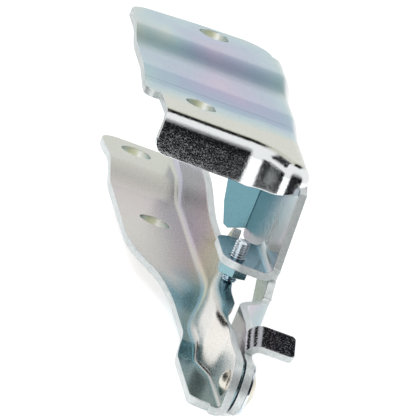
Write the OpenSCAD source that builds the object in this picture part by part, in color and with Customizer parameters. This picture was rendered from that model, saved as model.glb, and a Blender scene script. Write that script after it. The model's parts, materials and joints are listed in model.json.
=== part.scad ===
// Bonnet hinge: two zinc-plated pressings on one riveted pivot, closed pose.
// X runs from the pivot towards the bolted plates, Y is the inner side, Z is up.
// The origin is the near bolt hole, on the face that sits on the car body.

/* [Sheet] */
// Thickness of the pressed steel
sheet = 3.2; // [2.6:0.1:3.6]
// Inside radius of the press bends
bend_r = 3; // [2:0.5:4]

/* [Body bracket] */
// Distance from the pivot to the far end of the body bracket
body_len = 309; // [300:1:330]
// Distance from the pivot to the near bolt hole
near_hole_x = 214; // [205:1:225]
// Distance between the two bolt holes of the body bracket
body_hole_pitch = 81; // [70:1:84]
// Distance of the near bolt hole from the wall
near_hole_in = 14.5; // [12:0.5:16]
// Distance of the far bolt hole from the wall
far_hole_in = 17; // [14:0.5:18]
// Diameter of the bolt holes
bolt_hole_d = 12.5; // [9:0.5:13]
// Width of the bolted plate
plate_w = 30; // [28:0.5:34]
// Width of the foot along the arm
foot_w = 12; // [9:0.5:14]
// Rise of the far end of the plate
far_step = 5; // [2:0.5:7]
// Drop of the foot below the plate at the arm
arm_drop = 4; // [2:0.5:5]
// Drop of the foot below the plate at the eye
eye_drop = 8; // [7.5:0.5:9]
// Height of the wall rim above the plate
rim_h = 15; // [12:0.5:18]
// Height of the rim shelf above the pivot
shelf_z = 16.5; // [14:0.5:17]
// Width of the shelf turned out along the rim
shelf_w = 4.6; // [3.5:0.1:5]
// Height of the guard point behind the shelf
guard_z = 29; // [24:0.5:30]

/* [Bonnet bracket] */
// Height of the bonnet plate above the pivot
bonnet_z = 71; // [66:0.5:80]
// Drop of the front pad below the bonnet plate
pad_drop = 2.5; // [1:0.5:4]
// Rise of the far strip above the bonnet plate
strip_rise = 3.6; // [2:0.2:5]
// Distance from the pivot to the far end of the bonnet plate
bonnet_len = 243; // [240:1:260]
// Width of the bonnet plate from the web outwards
bonnet_w = 66.6; // [64:0.2:72]
// Width of the front pad, measured from the web
pad_w = 60; // [54:0.5:62]
// Distance from the pivot to the front flange
flange_x = 105.5; // [103:0.5:110]
// Height of the front flange
flange_h = 17.5; // [14:0.5:22]
// Distance between the two bolt holes of the bonnet plate
bonnet_hole_pitch = 98; // [92:1:102]
// Distance from the pivot to the far bonnet hole
bonnet_hole_x = 232; // [228:1:236]

/* [Leg] */
// Sideways offset from the leg eye to the web
leg_offset = 11.6; // [10:0.1:13]
// Height of the screw tab above the pivot, upper face
tab_z = 27; // [26:0.5:29]
// Reach of the screw tab from the web
tab_reach = 19.4; // [16:0.2:22]
// Length of the stop tab
stop_len = 18.5; // [14:0.5:26]
// Width of the stop tab
stop_w = 13.5; // [10:0.5:15]

/* [Pivot] */
// Radius of the rounded eyes
eye_r = 11; // [10.5:0.5:12]
// Diameter of the rivet shank
rivet_d = 8; // [6:0.5:9]
// Diameter of the domed rivet head on the outer side
rivet_head_d = 16; // [14:0.5:18]
// Height of the domed rivet head
rivet_head_h = 3.2; // [2.5:0.1:4]
// Diameter of the formed rivet tail on the inner side
rivet_tail_d = 11; // [10:0.5:11.5]
// Height of the formed rivet tail
rivet_tail_h = 2.4; // [2:0.1:3]
// Clearance from the rivet tail to the fold of the foot
tail_gap = 0.5; // [0.4:0.1:1]
// Wall thickness of the bush
bush_wall = 2; // [1:0.25:2]
// Thickness of the washers
washer_t = 1; // [0.6:0.1:1.5]
// Radial running clearance of the bush
run_gap = 0.05; // [0.02:0.01:0.1]
// Side clearance of the leg eye
side_gap = 0.2; // [0.15:0.05:0.4]

/* [Adjuster] */
// Thread diameter of the height adjuster
screw_d = 6; // [5:0.5:6]
// Radial clearance of the screw in the tab
screw_gap = 0.2; // [0.1:0.05:0.4]
// Height of the screw above the tab
screw_up = 7; // [4:0.5:10]
// Width of the weld nut across its flats
nut_af = 11; // [10:0.5:13]
// Height of the weld nut
nut_h = 4; // [3:0.5:5]

/* [Hidden] */
$fn = 48;

steel = "lightsteelblue";
zinc = "silver";
far = 400;
bend_out = bend_r + sheet;
lap = 0.5;
seam = 0.02;

// Side planes through the pivot, from the inner head to the outer head.
arm_in = 4.6;
arm_out = arm_in - sheet;
leg_in = arm_out - washer_t - side_gap;
leg_out = leg_in - sheet;
head_seat = leg_out - side_gap - washer_t;
web_in = leg_in - leg_offset;
web_out = web_in - sheet;

// Stations along the body bracket.
wall_y = -1;
crank_y = 9;
near_hole_y = wall_y + near_hole_in;
far_hole_y = wall_y + far_hole_in;
foot_z = -eye_drop;
crank_x = [141, 70];
neck_x = [50, 28];
far_ramp_x = [271, 253];
arm_ramp_x = [140, 100];
eye_ramp_x = [60, 46];
rim_ramp_x = [236, 182];
rim_fall_x = [58, 16];
rim_corner_r = 6;
guard_x = 121;
guard_ramp_x = [152, 126];
guard_nick = 1.5;
plate_corner_r = 10;
plate_neck = [16, 30];
plate_neck_in = 5;
plate_ramp_x = [180, 102];
foot_ramp_x = [76, 46];
foot_neck_y = 13.5;
foot_corner_r = 4;
foot_end = foot_corner_r - eye_r;
foot_root = 1;
shelf_x0 = 46;
shelf_taper = 7;
lip_r = 1;
step = 0.5;

// A curve that leaves level and arrives level, from p to q.
function ease(p, q, n) = [for (i = [0:n]) let (u = i / n) [
    p[0] + (q[0] - p[0]) * u,
    p[1] + (q[1] - p[1]) * u * u * (3 - 2 * u)
]];
function arc(c, r, a0, a1, n) = [for (i = [0:n]) let (a = a0 + (a1 - a0) * i / n) [
    c[0] + r * cos(a),
    c[1] + r * sin(a)
]];
function back(list) = [for (i = [len(list) - 1:-1:0]) list[i]];
function shift(list, d) = [for (p = list) [p[0], p[1] + d]];

// Inner face of the wall, seen from above, from the far end to the eye.
wall_path = concat(
    [[body_len, wall_y]],
    ease([crank_x[0], wall_y], [crank_x[1], crank_y], 8),
    ease([neck_x[0], crank_y], [neck_x[1], arm_in], 5),
    [[-eye_r, arm_in]]
);
// Upper face of the plate, seen from the side, from the far end to the eye.
foot_path = concat(
    [[body_len, far_step]],
    ease([far_ramp_x[0], far_step], [far_ramp_x[1], 0], 5),
    ease([arm_ramp_x[0], 0], [arm_ramp_x[1], -arm_drop], 5),
    ease([eye_ramp_x[0], -arm_drop], [eye_ramp_x[1], foot_z], 4),
    [[-eye_r, foot_z]]
);
// Rim of the wall, seen from the side, from the far end to the eye.
rim_top = far_step + rim_h;
rim_path = concat(
    arc([body_len - rim_corner_r, rim_top - rim_corner_r], rim_corner_r, 0, 90, 4),
    ease([rim_ramp_x[0], rim_top], [rim_ramp_x[1], rim_h], 5),
    ease([guard_ramp_x[0], rim_h], [guard_ramp_x[1], guard_z], 5),
    [[guard_x + guard_nick, guard_z], [guard_x, guard_z - guard_nick], [guard_x - step, shelf_z]],
    ease([rim_fall_x[0], shelf_z], [rim_fall_x[1], eye_r], 5),
    arc([0, 0], eye_r, 90, 180, 6)
);
// Free edge of the plate and foot, seen from above, from the far end to the eye.
plate_y = wall_y + plate_w;
plate_neck_y = plate_y - plate_neck_in;
edge_path = concat(
    arc([body_len - plate_corner_r, plate_neck_y - plate_corner_r], plate_corner_r, 0, 90, 4),
    ease([body_len - plate_neck[0], plate_neck_y], [body_len - plate_neck[1], plate_y], 3),
    ease([plate_ramp_x[0], plate_y], [plate_ramp_x[1], foot_neck_y], 7),
    ease([foot_ramp_x[0], foot_neck_y], [foot_ramp_x[1], arm_in + foot_w], 4),
    arc([foot_end + foot_corner_r, arm_in + foot_w - foot_corner_r], foot_corner_r, 90, 180, 4),
    [[foot_end - step, arm_in + bend_r + foot_root], [-eye_r, arm_in + bend_r + foot_root]]
);
// Inside radius of the fold, which leaves room for the rivet tail at the eye.
eye_fold_r = min(bend_r, eye_drop - rivet_tail_d / 2 - tail_gap);
fold_path = [[eye_ramp_x[0], bend_r], [eye_ramp_x[1], eye_fold_r]];
// How far the rim is turned out into the shelf, from 0 to 1.
shelf_turn = [
    [guard_x - step, 0],
    [guard_x - shelf_taper, 1],
    [shelf_x0 + shelf_taper, 1],
    [shelf_x0, 0]
];

// Extrudes an outline drawn in X and Z between two side planes.
module side(y0, y1) {
    translate([0, y1, 0])
        rotate([90, 0, 0])
            linear_extrude(y1 - y0)
                children();
}
// Extrudes an outline drawn in X and Y between two heights.
module plan(z0, z1) {
    translate([0, 0, z0])
        linear_extrude(z1 - z0)
            children();
}
// A round bar or bore across the pivot, between two side planes.
module across(r, y0, y1) {
    translate([0, y1, 0])
        rotate([90, 0, 0])
            cylinder(r = r, h = y1 - y0);
}
// Moves the pivot frame to the part's origin.
module placed() {
    translate([-near_hole_x, -near_hole_y, sheet])
        children();
}
module bolt_hole(x, y, z) {
    translate([x, y, z - 2 * sheet])
        cylinder(d = bolt_hole_d, h = 4 * sheet);
}

// Places along the body bracket where its section changes, from the far end to the eye.
function falling(list) = len(list) == 0 ? [] : let (middle = list[floor(len(list) / 2)]) concat(
    falling([for (v = list) if (v > middle) v]),
    [middle],
    falling([for (v = list) if (v < middle) v])
);
body_stations = falling([for (p = concat(wall_path, foot_path, rim_path, edge_path, shelf_turn)) p[0]]);

// Section of the bent sheet at one station: plate, fold, wall and the rim with its shelf.
function mixed(a, b, t) = [for (i = [0:len(a) - 1]) a[i] + (b[i] - a[i]) * t];
function body_section(x) = let (
    w = lookup(x, wall_path),
    f = lookup(x, foot_path),
    e = lookup(x, edge_path),
    r = lookup(x, rim_path),
    turn = lookup(x, shelf_turn),
    fold_r = lookup(x, fold_path),
    fold = [w + fold_r, f + fold_r],
    low = r - lip_r - sheet,
    straight = [for (i = [0:4]) low + (r - low) * i / 4],
    lip = [w - sheet - lip_r, low],
    inner_lip = concat(arc(lip, lip_r + sheet, 0, 90, 3), [[w - sheet - shelf_w, r]]),
    outer_lip = concat(arc(lip, lip_r, 0, 90, 3), [[w - sheet - shelf_w, r - sheet]]),
    inner_rim = mixed([for (z = straight) [w, z]], inner_lip, turn),
    outer_rim = mixed([for (z = straight) [w - sheet, z]], outer_lip, turn),
    inside = concat([[e, f]], arc(fold, fold_r, 270, 180, 4), inner_rim),
    outside = concat([[e, f - sheet]], arc(fold, fold_r + sheet, 270, 180, 4), outer_rim)
) [for (p = concat(inside, back(outside))) [x, p[0], p[1]]];

// Skin through sections that all have the same number of points.
module loft(sections) {
    n = len(sections[0]);
    last = len(sections) - 1;
    polyhedron(
        points = [for (s = sections) for (p = s) p],
        faces = concat(
            [[for (i = [0:n - 1]) i]],
            [for (k = [0:last - 1]) for (i = [0:n - 1]) let (j = (i + 1) % n)
                [k * n + i, (k + 1) * n + i, (k + 1) * n + j, k * n + j]],
            [[for (i = [n - 1:-1:0]) last * n + i]]
        )
    );
}
module body_bracket() {
    color(steel)
        placed()
            difference() {
                loft([for (x = body_stations) body_section(x)]);
                bolt_hole(near_hole_x, near_hole_y, 0);
                bolt_hole(near_hole_x + body_hole_pitch, far_hole_y, far_step);
                across(rivet_d / 2, arm_out - 1, arm_in + 1);
            }
}

// Stations along the bonnet bracket.
pad_z = bonnet_z - pad_drop;
strip_z = bonnet_z + strip_rise;
corner_r = 8;
turn = 60;
sway_r = 8;
nose_x = flange_x - 15.5;
corner = [nose_x + corner_r, web_out + corner_r];
sway_end = corner + corner_r * [-cos(turn), sin(turn)];
sway_x = flange_x - sway_r * (1 - cos(turn));
sway_run = (sway_x - sway_end[0]) / sin(turn);
sway_y = sway_end[1] + sway_run * cos(turn) + sway_r * sin(turn);
sway = [flange_x - sway_r, sway_y];
pad_y = web_out + pad_w;
web_flat = web_out + bend_out - lap;
bonnet_y = web_out + bonnet_w;
hole_2_x = bonnet_hole_x - bonnet_hole_pitch;
hole_y = [29, 16.5];
pad_ramp_x = [137, 146];
strip_ramp_x = [192, 206];
far_corner_r = [11, 12];
far_corner_in = 17;
far_bend_in = 12;
far_skew = 2;
notch_r = 4;
notch_at = [26, 29];
joggle_x = [77, 54];
leg_low_x = [6, 88];
leg_low_z = 6;
brace_x = [104, 132];
brace_z = [18, 36];
leg_neck = [30, 20.5];
spine_x = 150;
spine_z = 40;
spine_end = [24, 20];
spine_r = 8;
screw_x = 89;
screw_y = 1.5;
tab_x = [79, 119];
stop_tilt = 22;
stop_at = [9, 12.5];

// Upper face of the bonnet plate, seen from the side, from the nose to the far end.
bonnet_path = concat(
    [[nose_x - 1, pad_z]],
    [[pad_ramp_x[0], pad_z], [pad_ramp_x[1], bonnet_z]],
    [[strip_ramp_x[0], bonnet_z], [strip_ramp_x[1], strip_z], [bonnet_len + 1, strip_z]]
);
// Outline of the flat of the bonnet plate inside its bends, seen from above.
bonnet_edge = concat(
    arc([bonnet_len - far_corner_in, bonnet_y - far_corner_r[0]], far_corner_r[0], 90, 20, 5),
    [[bonnet_len - far_skew, hole_y[1] + bolt_hole_d / 2]],
    arc([bonnet_len - far_corner_r[1], web_flat + far_corner_r[1] - lap], far_corner_r[1], 0, -73, 5),
    arc(corner, corner_r - bend_out + lap, 265, 185 - turn, 6),
    arc(sway, sway_r + bend_out - lap, 5 - turn, -5, 6),
    [[flange_x + bend_out - lap, pad_y], [flange_x + notch_at[0], pad_y + lap]],
    arc([flange_x + notch_at[1], bonnet_y - notch_r], notch_r, 180, 90, 4)
);

// Inner face of the web and leg, seen from above, from the far end to the eye.
leg_path = concat(
    [[bonnet_len - far_bend_in, web_in]],
    ease([joggle_x[0], web_in], [joggle_x[1], leg_in], 8),
    [[-eye_r - 1, leg_in]]
);
// Outline of the web and leg, seen from the side.
web_top = [for (p = shift(bonnet_path, lap - bend_out)) if (p[0] > corner[0] && p[0] < bonnet_len - far_bend_in) p];
leg_outline = concat(
    [[0, -eye_r]],
    ease([leg_low_x[0], -eye_r], [leg_low_x[1], leg_low_z], 8),
    ease([brace_x[0], brace_z[0]], [brace_x[1], brace_z[1]], 5),
    ease([spine_x, spine_z], [bonnet_len - spine_end[0], strip_z - spine_end[1]], 4),
    arc([bonnet_len - far_bend_in - spine_r, strip_z - spine_r - sheet], spine_r, -45, 0, 3),
    back(web_top),
    [[corner[0] - lap, pad_z - bend_out + lap], [nose_x - 2, pad_z - 9], [tab_x[0] + 1, tab_z + bend_r]],
    ease([tab_x[0] + 2, tab_z - 2], [leg_neck[0], leg_neck[1]], 5),
    [[stop_at[0] + stop_w * cos(stop_tilt), stop_at[1] + stop_w * sin(stop_tilt)]],
    [stop_at, [eye_r / 3, eye_r - 0.7], [0, eye_r]]
);

// Extrudes an outline drawn in Y and Z along X.
module along(x0, x1) {
    translate([x0, 0, 0])
        rotate([90, 0, 90])
            linear_extrude(x1 - x0)
                children();
}
// A quarter of the bent sheet in section, centred on the bend, from angle a onwards.
module quarter_bend(a) {
    polygon(concat(
        arc([0, 0], bend_out - seam, a, a + 90, 6),
        arc([0, 0], bend_r + seam, a + 90, a, 6)
    ));
}
// Bend and flange of the front edge in section, with the outer face of the flange at r.
function bend_point(r, inward, p) = [r + inward * (bend_out + p[0]), pad_z - bend_out + p[1]];
module flange_section(r, inward) {
    outer = arc([0, 0], bend_out - seam, 90, 180, 6);
    inner = arc([0, 0], bend_r + seam, 180, 90, 6);
    polygon(concat(
        [for (p = outer) bend_point(r, inward, p)],
        [[r + inward * seam, pad_z - flange_h], [r + inward * (sheet - seam), pad_z - flange_h]],
        [for (p = inner) bend_point(r, inward, p)]
    ));
}
module front_flange() {
    intersection() {
        union() {
            translate([0, pad_y, 0])
                rotate([90, 0, 0])
                    linear_extrude(pad_y - sway_y)
                        flange_section(flange_x, 1);
            translate(sway)
                rotate([0, 0, -turn])
                    rotate_extrude(angle = turn)
                        flange_section(sway_r, 1);
            translate(sway + sway_r * [cos(turn), -sin(turn)])
                rotate([90, 0, -turn])
                    linear_extrude(sway_run)
                        flange_section(0, 1);
            translate(corner)
                rotate([0, 0, 180 - turn])
                    rotate_extrude(angle = 90 + turn)
                        flange_section(corner_r, -1);
        }
        along(0, far)
            polygon(concat(
                [[web_out - 1, pad_z], [web_out - 1, pad_z - 9.5], [6, pad_z - flange_h]],
                arc([pad_y - 5, pad_z - flange_h + 5], 5, 270, 360, 4),
                [[pad_y, pad_z]]
            ));
    }
}
module bonnet_plate() {
    intersection() {
        side(-far, far)
            polygon(concat(bonnet_path, back(shift(bonnet_path, -sheet))));
        plan(0, far)
            polygon(bonnet_edge);
    }
}
// Rolled edge between the bonnet plate and its web, one run per stretch of the plate.
module web_bend() {
    runs = [for (p = bonnet_path) [max(corner[0], min(bonnet_len - far_bend_in, p[0])), p[1]]];
    for (i = [0:len(runs) - 2]) {
        rise = runs[i + 1] - runs[i];
        translate([runs[i][0], web_out + bend_out, runs[i][1]])
            rotate([0, -atan2(rise[1], rise[0]), 0])
                along(i > 0 ? -lap : 0, norm(rise) + (i < len(runs) - 2 ? lap : 0))
                    translate([0, -bend_out])
                        quarter_bend(90);
    }
}
module web_and_leg() {
    intersection() {
        plan(-far, far)
            polygon(concat(leg_path, back(shift(leg_path, -sheet))));
        side(-far, far)
            difference() {
                union() {
                    polygon(leg_outline);
                    circle(r = eye_r);
                }
                polygon([[107, tab_z + 3], [113, tab_z + 3], [116, tab_z + 22]]);
            }
    }
}
module screw_tab() {
    intersection() {
        along(tab_x[0], tab_x[1])
            union() {
                translate([web_in + bend_r, tab_z + bend_r])
                    quarter_bend(180);
                translate([web_in + bend_r, tab_z - sheet])
                    square([tab_reach - bend_r, sheet]);
            }
        plan(0, far)
            polygon(concat(
                [[tab_x[0], web_out]],
                arc([tab_x[0] + 6, web_in + tab_reach - 6], 6, 180, 90, 5),
                arc([tab_x[1] - 6, web_in + tab_reach - 6], 6, 90, 0, 5),
                [[tab_x[1], web_out]]
            ));
    }
}
module web_return() {
    along(tab_x[1] + 3, tab_x[1] + 3 + sheet)
        polygon(concat(
            [[web_in - 1, tab_z + 9], [1, tab_z + 8], [2.5, tab_z + 5], [6, tab_z + 5]],
            arc([3.5, tab_z + 14.5], 3, 0, 90, 4),
            [[web_in - 1, tab_z + 17.5]]
        ));
}
module stop_tab() {
    top = bend_out - 0.5;
    translate([stop_at[0], 0, stop_at[1]])
        rotate([0, -stop_tilt, 0]) {
            along(0, stop_w)
                translate([leg_out - bend_r, top - bend_out])
                    quarter_bend(0);
            translate([0, 0, top - sheet])
                linear_extrude(sheet)
                    polygon(concat(
                        [[0, leg_out - bend_r]],
                        arc([2, leg_in - stop_len + 2], 2, 180, 270, 3),
                        arc([stop_w - 2, leg_in - stop_len + 2], 2, 270, 360, 3),
                        [[stop_w, leg_out - bend_r]]
                    ));
        }
}
module bonnet_bracket() {
    color(steel)
        placed()
            difference() {
                union() {
                    bonnet_plate();
                    web_bend();
                    front_flange();
                    web_and_leg();
                    screw_tab();
                    web_return();
                    stop_tab();
                }
                bolt_hole(hole_2_x, hole_y[0], pad_z);
                bolt_hole(bonnet_hole_x, hole_y[1], strip_z);
                across(bush_r, leg_out - 1, leg_in + 1);
                translate([screw_x, screw_y, tab_z - 2 * sheet])
                    cylinder(r = screw_d / 2 + screw_gap, h = 4 * sheet);
            }
}

// Sizes of the pivot set.
bush_in = rivet_d / 2 + run_gap;
bush_r = bush_in + bush_wall;
washer_r = eye_r - 1;

// Domed head that swells from the side plane y towards the given sign.
module rivet_head(d, h, y, outward) {
    dome_r = (pow(d / 2, 2) + pow(h, 2)) / (2 * h);
    translate([0, y, 0])
        rotate([outward > 0 ? -90 : 90, 0, 0])
            intersection() {
                translate([0, 0, h - dome_r])
                    sphere(r = dome_r);
                cylinder(d = d, h = h);
            }
}
module pivot_rivet() {
    color(zinc)
        placed() {
            across(rivet_d / 2, head_seat, arm_in);
            rivet_head(rivet_tail_d, rivet_tail_h, arm_in, 1);
            rivet_head(rivet_head_d, rivet_head_h, head_seat, -1);
        }
}
module pivot_bush() {
    color("darkgoldenrod")
        placed()
            difference() {
                across(bush_r, leg_out, leg_in);
                across(bush_in, leg_out - 1, leg_in + 1);
            }
}
module washer(y0) {
    difference() {
        across(washer_r, y0, y0 + washer_t);
        across(rivet_d / 2, y0 - 1, y0 + washer_t + 1);
    }
}
module thrust_washer() {
    color("dimgray")
        placed()
            washer(arm_out - washer_t);
}
module head_washer() {
    color(zinc)
        placed()
            washer(head_seat);
}
module adjuster_screw() {
    point = 1;
    low = shelf_z + side_gap;
    color(zinc)
        placed()
            translate([screw_x, screw_y, low]) {
                cylinder(r1 = screw_d / 2 - point, r2 = screw_d / 2, h = point);
                translate([0, 0, point])
                    cylinder(d = screw_d, h = tab_z + screw_up - low - 2 * point);
                translate([0, 0, tab_z + screw_up - low - point])
                    cylinder(r1 = screw_d / 2, r2 = screw_d / 2 - point, h = point);
            }
}
module adjuster_nut() {
    color(zinc)
        placed()
            translate([screw_x, screw_y, tab_z - sheet - nut_h])
                difference() {
                    cylinder(d = nut_af / cos(30), h = nut_h, $fn = 6);
                    translate([0, 0, -1])
                        cylinder(d = screw_d, h = nut_h + 2);
                }
}

body_bracket();
bonnet_bracket();
pivot_rivet();
pivot_bush();
thrust_washer();
head_washer();
adjuster_screw();
adjuster_nut();
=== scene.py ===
"""Looks of the bonnet hinge: two zinc-plated pressings on one riveted pivot, in the closed pose."""
import json
import math
from collections import namedtuple
from functools import reduce

import bmesh
import bpy
from mathutils import Matrix, Vector


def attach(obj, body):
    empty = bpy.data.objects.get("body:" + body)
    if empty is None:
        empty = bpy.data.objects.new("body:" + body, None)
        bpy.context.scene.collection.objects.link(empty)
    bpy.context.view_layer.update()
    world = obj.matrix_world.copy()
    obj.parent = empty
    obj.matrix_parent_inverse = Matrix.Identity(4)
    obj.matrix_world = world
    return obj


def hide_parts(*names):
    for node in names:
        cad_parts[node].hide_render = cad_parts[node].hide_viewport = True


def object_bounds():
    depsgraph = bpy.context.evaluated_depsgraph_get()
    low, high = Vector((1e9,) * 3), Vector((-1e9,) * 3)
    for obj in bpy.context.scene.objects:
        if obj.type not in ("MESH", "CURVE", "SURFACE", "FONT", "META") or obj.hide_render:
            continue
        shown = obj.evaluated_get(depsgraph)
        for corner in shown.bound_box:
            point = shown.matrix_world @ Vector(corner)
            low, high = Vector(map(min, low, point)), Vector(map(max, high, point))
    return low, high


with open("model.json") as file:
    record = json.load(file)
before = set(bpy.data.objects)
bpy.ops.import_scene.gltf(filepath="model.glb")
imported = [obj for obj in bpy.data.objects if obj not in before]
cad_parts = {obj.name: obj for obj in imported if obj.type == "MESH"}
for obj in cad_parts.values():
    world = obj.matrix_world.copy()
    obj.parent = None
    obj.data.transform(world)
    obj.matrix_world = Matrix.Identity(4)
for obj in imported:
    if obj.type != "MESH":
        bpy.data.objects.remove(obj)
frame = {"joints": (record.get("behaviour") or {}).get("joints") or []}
cad_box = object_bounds()

# Outlines are drawn in millimetres from the pivot: X towards the plates, Y to the inner side, Z up.
MM = 0.001
PIVOT = Vector(frame["joints"][0]["pos_m"])
FROM_PIVOT = Matrix.Translation(PIVOT) @ Matrix.Scale(MM, 4)
QUARTER_TURN = math.pi / 2

# Sheet
SHEET = 3.2
BEND_R = 3
BEND_OUT = BEND_R + SHEET
BEND_ROWS = 8
EDGE_ROUND = 0.3
EDGE_STEPS = 3
EDGE_ANGLE = math.radians(50)
HOLE_RIM = 0.9
HOLE_STEPS = 48

# Tolerances of the drawing
ON_LINE = 1e-3
CUT_SNAP = 1e-4
ON_AXIS = 1e-6
WELD = 0.01
FINE_WELD = 0.005
SPIN_WELD = 0.001
FLAT_ANGLE = math.radians(0.5)

# Side planes at the pivot
ARM_IN = 4.6
ARM_OUT = ARM_IN - SHEET
LEG_IN = 0.2
LEG_OUT = LEG_IN - SHEET
WEB_IN = -11.4
WEB_OUT = WEB_IN - SHEET
EYE_R = 11

# Pivot
RIVET_R = 4
RIVET_HEAD = (8, 3.2)
RIVET_TAIL = (5.5, 2.4)
HEAD_SEAT = -4.2
WASHER_R = 10
WASHER_T = 1
WASHER_CHAMFER = 0.15
BUSH_BORE_R = 4.05
BUSH_R = 6.05
BUSH_CHAMFER = 0.2
SPIN_STEPS = 64
DOME_STEPS = 10

# Bolt holes
HOLE_R = 6.25
BODY_HOLES = [(214, 13.5), (295, 16)]
BONNET_HOLES = [(134, 29), (232, 16.5)]

# Bonnet plate
PAD_Z = 68.5
BONNET_Z = 71
STRIP_Z = 74.6
BONNET_END = 243
BONNET_Y = WEB_OUT + 66.6
PAD_Y = WEB_OUT + 60
PAD_RAMP = (141.3, 160)
STRIP_RAMP = (188, 208)
CREASE_X = 147
WEB_CORNER_R = 12
WAIST = (BONNET_END - 2, BONNET_HOLES[1][1] + HOLE_R)
FREE_CORNER_R = 11
FREE_CORNER_X = BONNET_END - 17

# Front flange and its S-bend
FLANGE_X = 105.5
FLANGE_H = 17.5
FLANGE_END_R = 5
FLANGE_END_ANGLES = (0, 20, 40, 55, 70, 80)
FLANGE_RISE = 8
FLANGE_RISE_Y = 6
FLANGE_STEPS = 8
DROP_ROWS = 6
SHOULDER_R = 4
SHOULDER_X = FLANGE_X + 29
PAD_END = (FLANGE_X + 26, PAD_Y + 0.5)
NOSE_X = 90
CORNER_R = 6.6
CORNER_STEPS = 16
CORNER = (NOSE_X + CORNER_R, WEB_OUT + CORNER_R)
SWAY_R = 12
SWAY_TURN = 60
SWAY_STEPS = 10
SLOPE_STEPS = 4

# Screw tab and adjuster
TAB_Z = 27
TAB_REACH = 19.4
TAB_X = (79, 119)
TAB_NEAR_R = 9
TAB_FAR_R = 10
TAB_STEPS = 8
SCREW_AT = (89, 1.5)
SCREW_R = 3
SCREW_Z = (16.7, 34)
SCREW_GAP = 0.2
SCREW_CHAMFER = 1
SCREW_ROWS = 140
SCREW_SIDES = 48
THREAD_PITCH = 1.0
THREAD_DEPTH = 0.6
NUT_FLATS = 11
NUT_H = 4

# Web, ear and leg, in X and Z from the side
APRON_Z = 18.5
APRON_START = (104, APRON_Z)
APRON_R = 5
EAR_X = 164
EAR_LEAN = 0.36
EAR_ROOT = (EAR_X + 3, 40)
SPINE = ((EAR_X + 10, 44), (BONNET_END - 24, STRIP_Z - 20))
SPINE_STEPS = 8
WEB_END = BONNET_END - WEB_CORNER_R
WEB_TIP_R = 8
NOSE_EDGE = [(NOSE_X + CORNER_R - 1, PAD_Z - 7), (NOSE_X - 2, PAD_Z - 9), (TAB_X[0] + 1, TAB_Z + BEND_R)]
NECK_Z = 17.5
NECK = ((TAB_X[0] - 6, NECK_Z), (TAB_X[0] + 2, TAB_Z - 2))
NECK_STEPS = 8
NECK_LEVEL = (66, 30)
LEG_LOW = ((6, -EYE_R), (88, 6))
LEG_STEPS = 14
CRANK_X = (54, 77)
CRANK_STEPS = 12
EYE_SPAN = (76, 270)
EYE_STEPS = 24
SLIT = [(107, TAB_Z + 3), (113, TAB_Z + 3), (116, TAB_Z + 22)]

# Ear across, in Y and Z
EAR_LOW = [(WEB_IN, APRON_Z + 3), (-5, APRON_Z), (-3, APRON_Z + 1), (0, 28)]
EAR_CORNER = (-1, 38)
EAR_CORNER_R = 3
EAR_TOP = (WEB_IN, 43)

# Stop tab
STOP_ROOT = (9, 11)
STOP_W = 13.5
STOP_L = 18.5
STOP_TILT = math.radians(22)
STOP_SINK = 0.5
STOP_CORNER_R = 2
STOP_STEPS = 4

# Steps of the small round corners
FEW_STEPS = 6
SOME_STEPS = 8
MANY_STEPS = 10


def ease(t):
    t = min(max(t, 0), 1)
    return t * t * (3 - 2 * t)


def run_of(*points):
    """A value along X that rests at each (x, value) point and eases from one to the next."""
    def at(x):
        for (x0, v0), (x1, v1) in zip(points, points[1:]):
            if x <= x1:
                return v0 + (v1 - v0) * ease((x - x0) / (x1 - x0))
        return points[-1][1]
    return at


def on_circle(centre, radius, degrees):
    angle = math.radians(degrees)
    return centre[0] + radius * math.cos(angle), centre[1] + radius * math.sin(angle)


def arc(centre, radius, start, end, steps):
    """Points of an arc in a plane, from one angle to another in degrees."""
    return [on_circle(centre, radius, start + (end - start) * i / steps) for i in range(steps + 1)]


def between(x0, x1, steps):
    return [x0 + (x1 - x0) * i / steps for i in range(steps + 1)]


def net(columns, rows, place):
    """A sheet of columns by rows of points, each laid by place(column, row)."""
    bm = bmesh.new()
    points = bmesh.ops.create_grid(bm, x_segments=columns - 1, y_segments=rows - 1, size=0.5)["verts"]
    for vert in points:
        column = round((vert.co.x + 0.5) * (columns - 1))
        row = round((vert.co.y + 0.5) * (rows - 1))
        vert.co = place(column, row)
    return bm


def on_cut(edge, cuts):
    return any(all(abs(vert.co.x - x) < ON_LINE for vert in edge.verts) for x in cuts)


def add_hole_rim(bm, middle, radius):
    """Draws the edge of a hole in to its radius, which leaves a narrow ring of faces round it."""
    rim = [edge for edge in bm.edges if edge.is_boundary
           and all(abs((vert.co - middle).length - radius - HOLE_RIM) < ON_LINE for vert in edge.verts)]
    made = bmesh.ops.extrude_edge_only(bm, edges=rim)["geom"]
    for vert in made:
        if isinstance(vert, bmesh.types.BMVert):
            vert.co = middle + (vert.co - middle) * radius / (radius + HOLE_RIM)


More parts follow.
